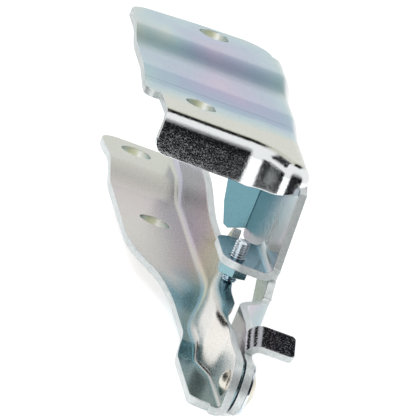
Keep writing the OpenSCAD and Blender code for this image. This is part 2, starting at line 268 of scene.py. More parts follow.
def flat_sheet(loops, holes, cuts, place):
    """Fills an outline round its holes, cuts it at each X of cuts, and lays each point by place(x, y).

    The faces between two cuts are merged, so that no slender triangle shows in the shading.
    """
    bm = bmesh.new()
    last = 360 - 360 / HOLE_STEPS
    rims = [arc(centre, radius + HOLE_RIM, 0, last, HOLE_STEPS - 1) for centre, radius in holes]
    for loop in loops + rims:
        ring = [bm.verts.new((x, y, 0)) for x, y in loop]
        for pair in zip(ring, ring[1:] + ring[:1]):
            bm.edges.new(pair)
    bmesh.ops.triangle_fill(bm, use_beauty=True, use_dissolve=False, edges=bm.edges[:])
    for x in cuts:
        everything = bm.verts[:] + bm.edges[:] + bm.faces[:]
        bmesh.ops.bisect_plane(bm, geom=everything, dist=CUT_SNAP, plane_co=(x, 0, 0), plane_no=(1, 0, 0))
    inner = [edge for edge in bm.edges if not on_cut(edge, cuts)]
    bmesh.ops.dissolve_limit(bm, angle_limit=FLAT_ANGLE, use_dissolve_boundaries=False, verts=[],
                             edges=inner)
    for centre, radius in holes:
        add_hole_rim(bm, Vector((*centre, 0)), radius)
    for vert in bm.verts:
        vert.co = place(vert.co.x, vert.co.y)
    return bm


def gathered(*parts):
    """One bmesh from several, which are freed."""
    whole = bmesh.new()
    for part in parts:
        mesh = bpy.data.meshes.new("part")
        part.to_mesh(mesh)
        whole.from_mesh(mesh)
        bpy.data.meshes.remove(mesh)
        part.free()
    return whole


def joined(*parts):
    """One bmesh from several, welded where their rims meet."""
    whole = gathered(*parts)
    bmesh.ops.remove_doubles(whole, verts=whole.verts[:], dist=WELD)
    bmesh.ops.recalc_face_normals(whole, faces=whole.faces[:])
    return whole


def facing(bm, direction):
    """Turns the sheet so that its face side looks along direction."""
    total = sum((face.normal * face.calc_area() for face in bm.faces), Vector())
    if total.dot(Vector(direction)) < 0:
        bmesh.ops.reverse_faces(bm, faces=bm.faces[:])
    return bm


def make_piece(name, bm, materials, body, slot, *nodes):
    """Puts a shape drawn from the pivot into the scene, in the place of its CAD nodes."""
    bm.transform(FROM_PIVOT)
    mesh = bpy.data.meshes.new(name)
    bm.to_mesh(mesh)
    bm.free()
    for face in mesh.polygons:
        face.use_smooth = True
    for material in materials:
        mesh.materials.append(material)
    piece = bpy.data.objects.new(name, mesh)
    bpy.context.scene.collection.objects.link(piece)
    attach(piece, body)
    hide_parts(*nodes)
    return piece


def thicken(piece, thickness=SHEET):
    """Gives a sheet its thickness behind the drawn face, and rounds its cut edges."""
    wall = piece.modifiers.new("sheet", "SOLIDIFY")
    wall.thickness = thickness * MM
    wall.offset = -1
    wall.use_even_offset = True
    wall.material_offset_rim = 1
    edge = piece.modifiers.new("edge", "BEVEL")
    edge.limit_method = "ANGLE"
    edge.angle_limit = EDGE_ANGLE
    edge.width = EDGE_ROUND * MM
    edge.segments = EDGE_STEPS
    edge.loop_slide = False
    edge.use_clamp_overlap = False
    shade = piece.modifiers.new("shade", "WEIGHTED_NORMAL")
    shade.keep_sharp = True


# Bonnet bracket
plate_rise = run_of((STRIP_RAMP[0], 0), (STRIP_RAMP[1], STRIP_Z - BONNET_Z))
leg_side = run_of((CRANK_X[0], LEG_IN), (CRANK_X[1], WEB_IN))
RAMP_CUTS = between(*PAD_RAMP, 8) + between(*STRIP_RAMP, 10)
WEB_STATIONS = sorted(RAMP_CUTS
                      + between(CORNER[0] + 5, PAD_RAMP[0] - 5, 6)
                      + between(PAD_RAMP[1] + 6, STRIP_RAMP[0] - 6, 6)
                      + between(STRIP_RAMP[1] + 5, WEB_END, 5))


def plate_height(x):
    """Upper face of the bonnet plate: a straight step up from the pad, then a soft one to the far strip."""
    step = min(max((x - PAD_RAMP[0]) / (PAD_RAMP[1] - PAD_RAMP[0]), 0), 1)
    return PAD_Z + (BONNET_Z - PAD_Z) * step + plate_rise(x)


def front_line():
    """Crest of the rolled edge, from the pad's free end round the S-bend to the web.

    Each entry is a point and the way that the roll faces there, in degrees.
    """
    turn = math.radians(SWAY_TURN)
    sway_end = (CORNER[0] - CORNER_R * math.cos(turn), CORNER[1] + CORNER_R * math.sin(turn))
    sway_x = FLANGE_X - SWAY_R * (1 - math.cos(turn))
    run = (sway_x - sway_end[0]) / math.sin(turn)
    sway = (FLANGE_X - SWAY_R, sway_end[1] + run * math.cos(turn) + SWAY_R * math.sin(turn))
    rounded = [PAD_Y - FLANGE_END_R * (1 - math.cos(math.radians(a))) for a in FLANGE_END_ANGLES]
    straight = between(PAD_Y - FLANGE_END_R, sway[1], FLANGE_STEPS)[:-1]
    line = [((FLANGE_X + BEND_OUT, y), 180) for y in rounded + straight]
    for i in range(SWAY_STEPS + 1):
        angle = -SWAY_TURN * i / SWAY_STEPS
        line.append((on_circle(sway, SWAY_R + BEND_OUT, angle), 180 + angle))
    slope = 180 - SWAY_TURN
    start = line[-1][0]
    end = on_circle(CORNER, CORNER_R - BEND_OUT, slope)
    sloped = list(zip(between(start[0], end[0], SLOPE_STEPS), between(start[1], end[1], SLOPE_STEPS)))
    line += [(point, slope) for point in sloped[1:-1]]
    for i in range(CORNER_STEPS + 1):
        angle = slope + (90 + SWAY_TURN) * i / CORNER_STEPS
        line.append((on_circle(CORNER, CORNER_R - BEND_OUT, angle), angle))
    return line


FRONT = front_line()
WEB = [((x, WEB_OUT + BEND_OUT), 270) for x in [CORNER[0]] + WEB_STATIONS]


def flange_bottom(y):
    """Lower edge of the front flange: it rises in a line towards the web, and rounds off at the free end."""
    low = PAD_Z - FLANGE_H
    if y < FLANGE_RISE_Y:
        return low + FLANGE_RISE * (FLANGE_RISE_Y - y) / (FLANGE_RISE_Y - WEB_OUT + 1)
    past = max(y - PAD_Y + FLANGE_END_R, 0)
    return low + FLANGE_END_R - math.sqrt(max(FLANGE_END_R ** 2 - past ** 2, 0))


def rolled(crest, turn, angle):
    """A point of the rolled edge, the angle from the level plate down to the upright wall."""
    x, y = crest
    way = math.radians(turn)
    out = BEND_OUT * math.sin(angle)
    drop = BEND_OUT * (1 - math.cos(angle))
    return x + out * math.cos(way), y + out * math.sin(way), plate_height(x) - drop


def front_roll(column, row):
    """The rolled front edge, and below it the flange."""
    x, y, z = rolled(*FRONT[column], QUARTER_TURN * min(row / BEND_ROWS, 1))
    if row > BEND_ROWS:
        z += (flange_bottom(y) - z) * (row - BEND_ROWS) / DROP_ROWS
    return x, y, z


def web_roll(column, row):
    return rolled(*WEB[column], QUARTER_TURN * row / BEND_ROWS)


def bonnet_plate():
    web_corner = (BONNET_END - WEB_CORNER_R, WEB_OUT + BEND_OUT + WEB_CORNER_R)
    outer = (arc(web_corner, WEB_CORNER_R, -73, 0, SOME_STEPS)
             + [WAIST]
             + arc((FREE_CORNER_X, BONNET_Y - FREE_CORNER_R), FREE_CORNER_R, 20, 90, MANY_STEPS)
             + arc((SHOULDER_X, BONNET_Y - SHOULDER_R), SHOULDER_R, 90, 180, SOME_STEPS)
             + [PAD_END])
    crest = [point for point, _ in FRONT + WEB[1:]]
    holes = [(centre, HOLE_R) for centre in BONNET_HOLES]
    return flat_sheet([crest + outer], holes, RAMP_CUTS, lambda x, y: (x, y, plate_height(x)))


def leg_outline():
    """Outline of the web and leg from the side, with the rolled edge above it."""
    top = [(x, plate_height(x) - BEND_OUT) for x in reversed([CORNER[0]] + WEB_STATIONS)]
    lower = run_of(*LEG_LOW)
    spine = run_of(*SPINE)
    neck = run_of(*NECK)
    apron_corner = (EAR_ROOT[0] - APRON_R, APRON_Z + APRON_R)
    web_tip = (WEB_END - WEB_TIP_R, STRIP_Z - WEB_TIP_R - SHEET)
    stop_end = (STOP_ROOT[0] + STOP_W * math.cos(STOP_TILT), STOP_ROOT[1] + STOP_W * math.sin(STOP_TILT))
    neck_stations = between(NECK[1][0], NECK[0][0], NECK_STEPS) + between(*NECK_LEVEL, FEW_STEPS)
    return ([(x, lower(x)) for x in between(LEG_LOW[0][0], LEG_LOW[1][0], LEG_STEPS)]
            + [APRON_START]
            + arc(apron_corner, APRON_R, -90, 0, FEW_STEPS)
            + [EAR_ROOT]
            + [(x, spine(x)) for x in between(SPINE[0][0], SPINE[1][0], SPINE_STEPS)]
            + arc(web_tip, WEB_TIP_R, -45, 0, 4)
            + top
            + NOSE_EDGE
            + [(x, neck(x)) for x in neck_stations]
            + [stop_end, STOP_ROOT]
            + arc((0, 0), EYE_R, *EYE_SPAN, EYE_STEPS))


def web_and_leg():
    """Upright sheet of the web, cranked over to the pivot along the leg."""
    eye = [((0, 0), BUSH_R)]
    cuts = between(*CRANK_X, CRANK_STEPS)
    return flat_sheet([leg_outline(), SLIT], eye, cuts, lambda x, z: (x, leg_side(x) - SHEET, z))


def screw_tab():
    """Ledge bent in from the web, round-cornered, with a hole for the adjuster."""
    reach = WEB_IN + TAB_REACH
    stations = between(*TAB_X, TAB_STEPS)
    outline = (arc((TAB_X[0] + TAB_NEAR_R, reach - TAB_NEAR_R), TAB_NEAR_R, 180, 90, MANY_STEPS)
               + arc((TAB_X[1] - TAB_FAR_R, reach - TAB_FAR_R), TAB_FAR_R, 90, 0, SOME_STEPS)
               + [(x, WEB_IN + BEND_R) for x in reversed(stations)])
    ledge = flat_sheet([outline], [(SCREW_AT, SCREW_R + SCREW_GAP)], [], lambda x, y: (x, y, TAB_Z))

    def place(column, row):
        angle = QUARTER_TURN * row / BEND_ROWS
        return (stations[column], WEB_IN + BEND_R - BEND_R * math.sin(angle),
                TAB_Z + BEND_R - BEND_R * math.cos(angle))
    roll = net(len(stations), BEND_ROWS + 1, place)
    return facing(joined(ledge, roll), (0, 0, 1))


def web_ear():
    """Ear turned in at the far end of the apron, leaning away from the flange."""
    outline = EAR_LOW + arc(EAR_CORNER, EAR_CORNER_R, 0, 90, FEW_STEPS) + [EAR_TOP]
    ear = flat_sheet([outline], [], [], lambda y, z: (EAR_X + EAR_LEAN * (y - WEB_IN), y, z))
    return facing(joined(ear), (-1, 0, 0))


def stop_tab():
    """Tongue turned out from the leg over the eye, tilted with the leg's edge."""
    top = BEND_OUT - STOP_SINK
    rim = LEG_OUT - BEND_R
    end = LEG_IN - STOP_L + STOP_CORNER_R
    turn = Matrix.Translation((STOP_ROOT[0], 0, STOP_ROOT[1])) @ Matrix.Rotation(-STOP_TILT, 4, "Y")
    stations = between(0, STOP_W, STOP_STEPS)
    outline = ([(x, rim) for x in stations]
               + arc((STOP_W - STOP_CORNER_R, end), STOP_CORNER_R, 0, -90, FEW_STEPS)
               + arc((STOP_CORNER_R, end), STOP_CORNER_R, -90, -180, FEW_STEPS))
    tongue = flat_sheet([outline], [], [], lambda x, y: turn @ Vector((x, y, top)))

    def place(column, row):
        angle = QUARTER_TURN * row / BEND_ROWS
        return turn @ Vector((stations[column], rim + BEND_OUT * math.sin(angle),
                              top - BEND_OUT * (1 - math.cos(angle))))
    roll = net(len(stations), BEND_ROWS + 1, place)
    return facing(joined(tongue, roll), (0, 0, 1))


def bonnet_bracket():
    front = net(len(FRONT), BEND_ROWS + DROP_ROWS + 1, front_roll)
    side = net(len(WEB), BEND_ROWS + 1, web_roll)
    shell = facing(joined(bonnet_plate(), front, side, web_and_leg()), (0, 0, 1))
    return gathered(shell, screw_tab(), web_ear(), stop_tab())


# Body bracket: each line of (x, value) points runs from the pivot to the far end
EYE_RAMP = (46, 60)
FOOT_RAMP = (100, 140)
STEP_RAMP = (250, 276)
wall_side = run_of((28, ARM_IN), (50, 9), (70, 9), (141, -1))
foot_height = run_of((EYE_RAMP[0], -8), (EYE_RAMP[1], -4), (FOOT_RAMP[0], -4), (FOOT_RAMP[1], 0),
                     (STEP_RAMP[0], 0), (STEP_RAMP[1], 5))
fold_radius = run_of((EYE_RAMP[0], 2), (EYE_RAMP[1], BEND_R))
shelf_turn = run_of((30, 0), (62, 1), (114, 1), (120.5, 0))
low_rim = run_of((16, EYE_R), (58, 16.5))
high_rim = run_of((126, 29), (152, 15), (182, 15), (236, 20))
free_edge = run_of((46, 16.6), (76, 13.5), (102, 13.5), (180, 29), (282, 29), (295, 30))

# Curved stretches of the free edge, from the far end back: first X, last X and steps
FREE_STRETCHES = ((295, 282, 5), (180, 102, 14), (76, 46, 8))

BODY_END = 309
BODY_FAR_Y = 30
BODY_CORNER_R = 8
FOOT_END = -7
FOOT_W = 12
FOOT_CORNER_R = 4
FOOT_ROOT = ARM_IN + BEND_R + 1
FOOT_NOTCH_X = FOOT_END - 0.5
GUARD_X = 121
GUARD_Z = 27.5
GUARD_TIP = 1.5
FOLD_ROWS = 6
WALL_ROWS = 5
WALL_LEAST = 0.2
LIP_ROWS = 6
LIP_R = 1
SHELF_W = 4.6
RIM_R = 6
FOOT_CUTS = between(*EYE_RAMP, 8) + between(*FOOT_RAMP, 8) + between(*STEP_RAMP, 10)
EYE_END = [-EYE_R * math.cos(math.radians(a)) for a in (0, 12, 24, 36, 48, 60, 75, 90)]
RIM_END = [BODY_END - RIM_R + RIM_R * math.sin(math.radians(a)) for a in (0, 20, 40, 60, 75, 90)]
GUARD_STATIONS = [GUARD_X + x for x in (-7, -0.5, 0, GUARD_TIP, 5)]
BODY_STATIONS = sorted(set(EYE_END + RIM_END + FOOT_CUTS + GUARD_STATIONS
                           + between(4, 44, 10) + between(63, 97, 10)
                           + between(144, 246, 18) + between(280, 300, 4)))


def rim_height(x):
    """Top of the wall: round over the eye, level at the shelf, up to the guard, round at the far end."""
    if x < 0:
        return math.sqrt(max(EYE_R ** 2 - x ** 2, 0))
    if x < GUARD_X:
        return low_rim(x)
    if x < GUARD_X + GUARD_TIP:
        return GUARD_Z + (x - GUARD_X)
    far = max(x - BODY_END + RIM_R, 0)
    return high_rim(x) - RIM_R + math.sqrt(max(RIM_R ** 2 - far ** 2, 0))


def body_wall(column, row):
    """Fold, wall and turned rim of the body bracket, on the inner face."""
    x = BODY_STATIONS[column]
    side = wall_side(x)
    foot = foot_height(x)
    fold = fold_radius(x)
    if row <= FOLD_ROWS:
        angle = QUARTER_TURN * row / FOLD_ROWS
        return x, side + fold * (1 - math.sin(angle)), foot + fold * (1 - math.cos(angle))
    rim = rim_height(x)
    low = max(rim - LIP_R - SHEET, foot + fold + WALL_LEAST)
    if row <= FOLD_ROWS + WALL_ROWS:
        return x, side, foot + fold + (low - foot - fold) * (row - FOLD_ROWS) / WALL_ROWS
    step = row - FOLD_ROWS - WALL_ROWS
    straight = Vector((x, side, low + (rim - low) * step / LIP_ROWS))
    angle = QUARTER_TURN * min(step / (LIP_ROWS - 1), 1)
    lip = Vector((x, side - SHEET - LIP_R + (LIP_R + SHEET) * math.cos(angle),
                  low + (rim - low) * math.sin(angle)))
    if step == LIP_ROWS:
        lip.y = side - SHEET - SHELF_W
    return straight.lerp(lip, shelf_turn(x))


def body_plate():
    fold_line = [(x, wall_side(x) + fold_radius(x)) for x in BODY_STATIONS]
    far_corner = (BODY_END - BODY_CORNER_R, BODY_FAR_Y - BODY_CORNER_R)
    foot_corner = (FOOT_END + FOOT_CORNER_R, ARM_IN + FOOT_W - FOOT_CORNER_R)
    edge = (arc(far_corner, BODY_CORNER_R, 0, 90, SOME_STEPS)
            + [(x, free_edge(x)) for stretch in FREE_STRETCHES for x in between(*stretch)]
            + arc(foot_corner, FOOT_CORNER_R, 90, 180, FEW_STEPS)
            + [(FOOT_NOTCH_X, FOOT_ROOT), (-EYE_R, FOOT_ROOT)])
    holes = [(centre, HOLE_R) for centre in BODY_HOLES]
    return flat_sheet([fold_line + edge], holes, FOOT_CUTS, lambda x, y: (x, y, foot_height(x)))


def body_bracket():
    wall = net(len(BODY_STATIONS), FOLD_ROWS + WALL_ROWS + LIP_ROWS + 1, body_wall)
    return facing(joined(body_plate(), wall), (0, 0, 1))


# Fasteners
def spun(profile):
    """Turns a closed profile of (radius, side) points about the pivot."""
    bm = bmesh.new()
    ring = [bm.verts.new((radius, side, 0)) for radius, side in profile]
    pairs = [pair for pair in zip(ring, ring[1:] + ring[:1]) if any(vert.co.x > ON_AXIS for vert in pair)]
    edges = [bm.edges.new(pair) for pair in pairs]
    bmesh.ops.spin(bm, geom=ring + edges, cent=(0, 0, 0), axis=(0, 1, 0), angle=2 * math.pi,
                   steps=SPIN_STEPS, use_merge=True)
    bmesh.ops.remove_doubles(bm, verts=bm.verts[:], dist=SPIN_WELD)
    bmesh.ops.recalc_face_normals(bm, faces=bm.faces[:])
    return bm


def ring_profile(inner, outer, low, high, chamfer):
    return [(inner, low), (outer - chamfer, low), (outer, low + chamfer), (outer, high - chamfer),
            (outer - chamfer, high), (inner, high)]


def washer(seat):
    """Flat washer with its lower side at the seat."""
    return spun(ring_profile(RIVET_R, WASHER_R, seat, seat + WASHER_T, WASHER_CHAMFER))


def pivot_bush():
    return spun(ring_profile(BUSH_BORE_R, BUSH_R, LEG_OUT, LEG_IN, BUSH_CHAMFER))


def dome(size, seat, way):
    """Arc of a domed head of the given radius and height, from its rim to its crown."""
    radius, height = size
    ball = (radius ** 2 + height ** 2) / (2 * height)
    half = math.asin(radius / ball)
    angles = [half * (1 - i / DOME_STEPS) for i in range(DOME_STEPS + 1)]
    return [(ball * math.sin(a), seat + way * (height - ball + ball * math.cos(a))) for a in angles]


def pivot_rivet():
    head = dome(RIVET_HEAD, HEAD_SEAT, -1)
    tail = dome(RIVET_TAIL, ARM_IN, 1)
    return spun(head[::-1] + [(RIVET_R, HEAD_SEAT), (RIVET_R, ARM_IN)] + tail)


def adjuster_screw():
    """Grub screw with a cut thread and chamfered ends."""
    low, high = SCREW_Z
    end_r = SCREW_R - SCREW_CHAMFER

    def place(column, row):
        z = low + (high - low) * row / (SCREW_ROWS - 1)
        phase = (z / THREAD_PITCH - column / SCREW_SIDES) % 1
        radius = SCREW_R - THREAD_DEPTH * abs(2 * phase - 1)
        radius = min(radius, end_r + (z - low), end_r + (high - z))
        angle = 2 * math.pi * column / SCREW_SIDES
        return SCREW_AT[0] + radius * math.cos(angle), SCREW_AT[1] + radius * math.sin(angle), z
    bm = net(SCREW_SIDES + 1, SCREW_ROWS, place)
    bmesh.ops.remove_doubles(bm, verts=bm.verts[:], dist=FINE_WELD)
    bmesh.ops.holes_fill(bm, edges=bm.edges[:], sides=SCREW_SIDES + 2)
    bmesh.ops.recalc_face_normals(bm, faces=bm.faces[:])
    return bm


def adjuster_nut():
    """Upper face of the hexagon nut, under the screw tab."""
    corner = NUT_FLATS / 2 / math.cos(math.pi / 6)
    hexagon = arc(SCREW_AT, corner, 0, 300, 5)
    top = flat_sheet([hexagon], [(SCREW_AT, SCREW_R)], [], lambda x, y: (x, y, TAB_Z - SHEET))
    return facing(joined(top), (0, 0, 1))


# Nodes
def link(tree, source, target):
    tree.links.new(source, target)


def feed(tree, socket, source):
    """Gives a socket a constant, or links it to another node's output."""
    if isinstance(source, (int, float, tuple)):
        socket.default_value = source
    else:
        link(tree, source, socket)


def add_node(tree, kind, **values):
    node = tree.nodes.new(kind)
    for name, value in values.items():
        if name in node.inputs:
            node.inputs[name].default_value = value
        else:
            setattr(node, name, value)
    return node


def ramp_on(tree, value, stops):
    """Colours at (place, colour) stops along a value."""
    node = add_node(tree, "ShaderNodeValToRGB")
    ramp = node.color_ramp
    while len(ramp.elements) < len(stops):
        ramp.elements.new(0.5)
    for element, (place, colour) in zip(ramp.elements, stops):
        element.position = place
        element.color = (*colour, 1)
    link(tree, value, node.inputs["Fac"])
    return node.outputs["Color"]


def span(tree, value, low, high, to_low=0.0, to_high=1.0):
    """A value stretched from one range to another, and kept within it."""
    node = add_node(tree, "ShaderNodeMapRange")
    for socket, number in zip(("From Min", "From Max", "To Min", "To Max"), (low, high, to_low, to_high)):
        node.inputs[socket].default_value = number
    link(tree, value, node.inputs["Value"])
    return node.outputs["Result"]


def reckon(tree, operation, first, second):
    """Adds, multiplies or compares two values."""
    node = add_node(tree, "ShaderNodeMath", operation=operation)
    for socket, source in zip(node.inputs, (first, second)):
        feed(tree, socket, source)
    return node.outputs["Value"]


def mixed(tree, mask, first, second, way="MIX"):
    node = add_node(tree, "ShaderNodeMix", data_type="RGBA", blend_type=way)
    for name, source in (("Factor", mask), ("A", first), ("B", second)):
        feed(tree, node.inputs[name], source)
    return node.outputs["Result"]


def seen_rays(tree):
    """One for rays from the camera and those that metal or glass sends on, nought for the others."""
    path = add_node(tree, "ShaderNodeLightPath")
    seen = reckon(tree, "ADD", path.outputs["Is Camera Ray"], path.outputs["Is Glossy Ray"])
    return reckon(tree, "ADD", seen, path.outputs["Is Transmission Ray"])


def bare_material(name):
    """A new material and its tree, without any node."""
    material = bpy.data.materials.new(name)
    material.use_nodes = True
    material.node_tree.nodes.clear()
    return material, material.node_tree


def group_with(name, inputs, outputs):
    group = bpy.data.node_groups.new(name, "ShaderNodeTree")
    for socket, value in inputs:
        made = group.interface.new_socket(name=socket, in_out="INPUT", socket_type="NodeSocketFloat")
        made.default_value = value
    for socket in outputs:
        group.interface.new_socket(name=socket, in_out="OUTPUT", socket_type="NodeSocketFloat")
    return group, group.nodes.new("NodeGroupInput"), group.nodes.new("NodeGroupOutput")


# Plating
NOISE_RANGE = (0.3, 0.7)
GRAIN_MIX = 0.7
GRAIN_HEIGHT = 0.15 * MM

Coat = namedtuple("Coat", "material tree shader film grain gloss")


def film_group():
    """Drifting thickness of the clear chromate film over the zinc, and streaks along the part."""
    group, entry, leave = group_with("chromate_film", [("Scale", 26.0)], ["Cloud", "Streak"])
    place = add_node(group, "ShaderNodeTexCoord")
    stretch = add_node(group, "ShaderNodeMapping", Scale=(0.45, 1.0, 1.0))
    cloud = add_node(group, "ShaderNodeTexNoise", Detail=2.0, Roughness=0.45, Distortion=0.5)
    drawn = add_node(group, "ShaderNodeMapping", Scale=(0.06, 1.0, 1.0))
    streak = add_node(group, "ShaderNodeTexNoise", Scale=900.0, Detail=3.0, Roughness=0.6)
    link(group, place.outputs["Object"], stretch.inputs["Vector"])
    link(group, stretch.outputs["Vector"], cloud.inputs["Vector"])
    link(group, entry.outputs["Scale"], cloud.inputs["Scale"])
    link(group, place.outputs["Object"], drawn.inputs["Vector"])
    link(group, drawn.outputs["Vector"], streak.inputs["Vector"])
    link(group, cloud.outputs["Fac"], leave.inputs["Cloud"])
    link(group, streak.outputs["Fac"], leave.inputs["Streak"])
    return group


def grain_group():
    """Fine peel of the plating: a height and a speckle."""
    group, entry, leave = group_with("plated_grain", [("Fine Scale", 1500.0), ("Coarse Scale", 320.0)],
                                     ["Height", "Speckle"])
    place = add_node(group, "ShaderNodeTexCoord")
    fine = add_node(group, "ShaderNodeTexNoise", Detail=3.0, Roughness=0.6)
    coarse = add_node(group, "ShaderNodeTexNoise", Detail=2.0, Roughness=0.5)
    for noise, size in ((fine, "Fine Scale"), (coarse, "Coarse Scale")):
        link(group, place.outputs["Object"], noise.inputs["Vector"])
        link(group, entry.outputs[size], noise.inputs["Scale"])
    height = add_node(group, "ShaderNodeMath", operation="MULTIPLY_ADD")
    height.inputs[1].default_value = GRAIN_MIX
    link(group, fine.outputs["Fac"], height.inputs[0])
    link(group, coarse.outputs["Fac"], height.inputs[2])
    link(group, height.outputs["Value"], leave.inputs["Height"])
    link(group, fine.outputs["Fac"], leave.inputs["Speckle"])
    return group


FILM = film_group()
GRAIN = grain_group()


def plated(name, rough, bump):
    """Zinc plating with its grain and gloss; the tint is added by the caller."""
    material = bpy.data.materials.new(name)
    material.use_nodes = True
    tree = material.node_tree
    shader = tree.nodes["Principled BSDF"]
    shader.inputs["Metallic"].default_value = 1.0
    film = add_node(tree, "ShaderNodeGroup", node_tree=FILM)
    grain = add_node(tree, "ShaderNodeGroup", node_tree=GRAIN)
    gloss = span(tree, grain.outputs["Speckle"], *NOISE_RANGE, *rough)
    link(tree, gloss, shader.inputs["Roughness"])
    surface = add_node(tree, "ShaderNodeBump", Strength=bump, Distance=GRAIN_HEIGHT)
    link(tree, grain.outputs["Height"], surface.inputs["Height"])
    link(tree, surface.outputs["Normal"], shader.inputs["Normal"])
    return Coat(material, tree, shader, film.outputs, grain.outputs, gloss)


def surface_place(tree):
    """Place and facing of the surface on the piece, each as X, Y and Z."""
    coordinates = add_node(tree, "ShaderNodeTexCoord")
    place = add_node(tree, "ShaderNodeSeparateXYZ")
    way = add_node(tree, "ShaderNodeSeparateXYZ")
    link(tree, coordinates.outputs["Object"], place.inputs["Vector"])
    link(tree, coordinates.outputs["Normal"], way.inputs["Vector"])
    return place.outputs, way.outputs


def along(x):
    """X of the scene, in metres, for a place drawn from the pivot."""
    return PIVOT.x + x * MM


def beside(y):
    """Y of the scene, in metres, for a place drawn from the pivot."""
    return PIVOT.y + y * MM


# Tints of the bonnet bracket: from the rim of the plate inwards, on the web, on the screw ledge; the ledge's
# dark blue and the ear's dark teal are the plating's blue tint darkened by painted shade under the plate
PLATE_TINTS = [(0.0, (0.54, 0.55, 0.47)), (0.16, (0.46, 0.54, 0.50)), (0.34, (0.34, 0.49, 0.53)),
               (0.56, (0.31, 0.40, 0.52)), (0.78, (0.36, 0.37, 0.52)), (1.0, (0.43, 0.37, 0.51))]
WEB_TINTS = [(0.30, (0.30, 0.42, 0.44)), (0.45, (0.36, 0.42, 0.44)), (0.6, (0.46, 0.40, 0.46)),
             (0.72, (0.36, 0.46, 0.46))]
LEDGE_TINTS_AND_PAINTED_SHADE = [(0.3, (0.09, 0.27, 0.36)), (0.5, (0.12, 0.32, 0.42)), (0.7, (0.18, 0.37, 0.47))]
# Painted shade: a soft dark band over the ramp up to the far strip, and a dark line along the crease at the
# step of the pad.
BEND_SHADE = [(0.0, (1.0, 1.0, 1.0)), (0.32, (0.60, 0.66, 0.66)), (0.5, (0.56, 0.62, 0.62)),
              (1.0, (1.0, 1.0, 1.0))]
CREASE_SHADE = [(0.3, (1.0, 1.0, 1.0)), (0.5, (0.55, 0.55, 0.55)), (0.7, (1.0, 1.0, 1.0))]
FLANGE_TINT = (0.80, 0.82, 0.83, 1)
EAR_TINT_AND_PAINTED_SHADE = (0.13, 0.26, 0.30, 1)

# Ranges over which the masks of the bonnet bracket rise: facings, places from the pivot, heights in metres
LEVEL_FACING = (0.78, 0.94)
ACROSS_FACING = (0.88, 0.97)
AHEAD_FACING = (-0.5, -0.8)
PIT_SPECKLE = (0.54, 0.62)
PIT_ROUGHNESS = (0.10, 0.18)
STOP_TAB_X = (STOP_ROOT[0] + 20, STOP_ROOT[0] + 14)
LEDGE_X = (TAB_X[0] - 6, TAB_X[0] - 2)
EAR_FACE_X = (EAR_X - 6, EAR_X - 4)
BEND_SHADE_X = (STRIP_RAMP[0] - 8, STRIP_RAMP[1] + 4)
CREASE_SHADE_X = (CREASE_X - 1, CREASE_X + 1)
PLATE_LEVEL = (0.050, 0.056)
WEB_LEVEL = (0.050, 0.044)
RIM_DRIFT = (-0.012, 0.012)
RIM_DEPTH = (-0.008, 0.036)
RIM_X = (PAD_RAMP[0] - 8, BONNET_END)
RIM_Y = (WEB_OUT + 3, BONNET_Y)


def plate_depth(tree, place):
    """Distance in metres from the rim of the bonnet plate."""
    rims = ((place["X"], along(RIM_X[0]), 1), (place["X"], along(RIM_X[1]), -1),
            (place["Y"], beside(RIM_Y[0]), 1), (place["Y"], beside(RIM_Y[1]), -1))
    distances = [reckon(tree, "MULTIPLY", reckon(tree, "SUBTRACT", at, rim), way) for at, rim, way in rims]
    return reduce(lambda first, second: reckon(tree, "MINIMUM", first, second), distances)


def span_along(tree, place, stretch, *result):
    """A value that goes from nought to one along X, over a stretch drawn from the pivot."""
    return span(tree, place["X"], along(stretch[0]), along(stretch[1]), *result)


def bonnet_zinc():
    """Plating of the bonnet bracket: cream at the plate's rim and lavender inside, blue on the screw ledge
    and teal on the ear's face, both darkened by painted shade under the plate.

    The flange and the stop tab are pale and bright, with pits that catch the light.
    """
    coat = plated("bonnet_zinc", rough=(0.10, 0.17), bump=0.4)
    tree = coat.tree
    place, way = surface_place(tree)
    pits = span(tree, coat.grain["Speckle"], *PIT_SPECKLE)
    worn = span_along(tree, place, STOP_TAB_X, *PIT_ROUGHNESS)
    gloss = reckon(tree, "ADD", coat.gloss, reckon(tree, "MULTIPLY", pits, worn))
    link(tree, gloss, coat.shader.inputs["Roughness"])
    drift = span(tree, coat.film["Cloud"], *NOISE_RANGE, *RIM_DRIFT)
    depth = span(tree, reckon(tree, "ADD", plate_depth(tree, place), drift), *RIM_DEPTH)
    # Painted shade over the ramp up to the far strip.
    bend_shade = ramp_on(tree, span_along(tree, place, BEND_SHADE_X), BEND_SHADE)
    plate = mixed(tree, 1.0, ramp_on(tree, depth, PLATE_TINTS), bend_shade, "MULTIPLY")
    web = ramp_on(tree, coat.film["Cloud"], WEB_TINTS)
    # Dark blue on the screw ledge: the plating's blue tint, darkened as painted shade under the plate.
    ledge = ramp_on(tree, coat.film["Cloud"], LEDGE_TINTS_AND_PAINTED_SHADE)
    upper = span(tree, place["Z"], *PLATE_LEVEL)
    low_face = mixed(tree, span_along(tree, place, LEDGE_X), web, ledge)
    flat = mixed(tree, upper, low_face, plate)
    # Painted shade along the crease at the step of the pad.
    crease = ramp_on(tree, span_along(tree, place, CREASE_SHADE_X), CREASE_SHADE)
    flat = mixed(tree, upper, flat, mixed(tree, 1.0, flat, crease, "MULTIPLY"))
    across = span(tree, reckon(tree, "ABSOLUTE", way["Y"], 0.0), *ACROSS_FACING)
    across = reckon(tree, "MAXIMUM", across, span(tree, place["Z"], *WEB_LEVEL))
    sides = mixed(tree, across, FLANGE_TINT, web)
    # Dark teal on the ear's face towards the flange: the plating's blue tint, darkened as painted shade
    # under the plate.
    ear = reckon(tree, "MULTIPLY", span_along(tree, place, EAR_FACE_X), span(tree, way["X"], *AHEAD_FACING))
    sides = mixed(tree, ear, sides, EAR_TINT_AND_PAINTED_SHADE)
    level = span(tree, way["Z"], *LEVEL_FACING)
    link(tree, mixed(tree, level, sides, flat), coat.shader.inputs["Base Color"])
    return coat.material
